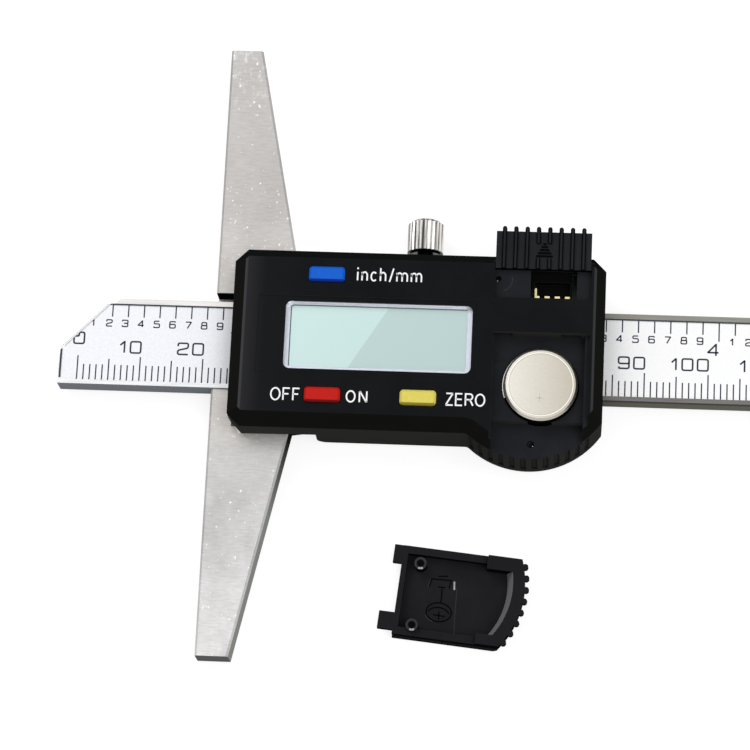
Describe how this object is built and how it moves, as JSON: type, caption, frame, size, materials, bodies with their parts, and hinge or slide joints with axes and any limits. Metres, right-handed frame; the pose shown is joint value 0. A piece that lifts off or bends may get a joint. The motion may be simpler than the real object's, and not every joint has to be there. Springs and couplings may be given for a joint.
{
  "type": "digital depth gauge",
  "caption": "Digital depth gauge: steel beam with engraved-style scale sliding through a wide foot, display housing with keys, data port, lock screw and open battery bay.",
  "frame": {"origin": "on the measuring face of the foot, where it meets the back face the gauge lies on, on the centre line of the beam", "axes": "+X along the beam away from its measuring tip, +Y across the beam along the foot, +Z out of the display"},
  "size_m": [0.2211, 0.1, 0.0131],
  "materials": {
    "beam_steel": "brushed",
    "foot_steel": "brushed",
    "frame_steel": "satin",
    "screw_steel": "polished",
    "circuit_strip": "satin",
    "label_silver": "satin",
    "gib_brass": "satin",
    "housing_black": "satin",
    "window_clear": "gloss",
    "bezel_silver": "satin",
    "lcd_grey": "gloss",
    "contact_rubber": "matte",
    "board_green": "satin",
    "resin_black": "gloss",
    "dome_steel": "polished",
    "button_blue": "gloss",
    "button_red": "gloss",
    "button_yellow": "gloss",
    "connector_black": "satin",
    "contact_gold": "polished",
    "cell_nickel": "satin",
    "contact_nickel": "satin"
  },
  "bodies": {
    "slider": {"base_foot": "foot_steel", "slider_frame": "frame_steel", "base_screws": "screw_steel", "gib_strip": "gib_brass", "gib_set_screws": "screw_steel", "housing_shell": "housing_black", "housing_screws": "screw_steel", "display_window": "window_clear", "lcd_bezel": "bezel_silver", "lcd_panel": "lcd_grey", "lcd_contact_strips": "contact_rubber", "main_circuit_board": "board_green", "chip_cover_blob": "resin_black", "button_snap_domes": "dome_steel", "data_port_connector": "connector_black", "data_port_pins": "contact_gold", "battery_contact_negative": "contact_nickel", "battery_contact_positive": "contact_nickel"},
    "beam": {"beam_bar": "beam_steel", "scale_circuit_strip": "circuit_strip", "scale_label": "label_silver", "beam_stop_screws": "screw_steel"},
    "unit_key": {"button_unit": "button_blue"},
    "power_key": {"button_power": "button_red"},
    "zero_key": {"button_zero": "button_yellow"},
    "port_cover": {"data_port_cover": "housing_black"},
    "cell": {"battery_cell": "cell_nickel"},
    "bay_cover": {"battery_cover": "housing_black"},
    "clamp_pad": {"lock_pad": "gib_brass"},
    "clamp_screw": {"lock_screw": "screw_steel"}
  },
  "joints": [
    {"name": "beam_slide", "type": "slide", "parent": "slider", "child": "beam", "axis": [1, 0, 0], "range_m": [-0.1254, 0.0246]},
    {"name": "unit_key_press", "type": "slide", "parent": "slider", "child": "unit_key", "axis": [0, 0, -1], "range_m": [0, 0.0004], "stiffness_N_per_m": 2000},
    {"name": "power_key_press", "type": "slide", "parent": "slider", "child": "power_key", "axis": [0, 0, -1], "range_m": [0, 0.0004], "stiffness_N_per_m": 2000},
    {"name": "zero_key_press", "type": "slide", "parent": "slider", "child": "zero_key", "axis": [0, 0, -1], "range_m": [0, 0.0004], "stiffness_N_per_m": 2000},
    {"name": "port_cover_slide", "type": "slide", "parent": "slider", "child": "port_cover", "axis": [0, -1, 0], "range_m": [0, 0.0047]},
    {"name": "cell_lift", "type": "slide", "parent": "slider", "child": "cell", "axis": [0, 0, 1], "range_m": [0, 0.02]},
    {"name": "bay_cover_lift", "type": "slide", "parent": "slider", "child": "bay_cover", "axis": [0, 0, 1], "range_m": [0, 0.03]},
    {"name": "clamp_pad_advance", "type": "slide", "parent": "slider", "child": "clamp_pad", "axis": [0, -1, 0], "range_m": [0, 0.0005]},
    {"name": "clamp_screw_turn", "type": "hinge", "parent": "clamp_pad", "child": "clamp_screw", "pos_m": [0.033, 0.0164, 0.0034], "axis": [0, -1, 0], "range_deg": [0, 360]}
  ],
  "couplings": [
    {"joint": "clamp_screw_turn", "follows": "clamp_pad_advance", "rad_per_m": 12566}
  ]
}
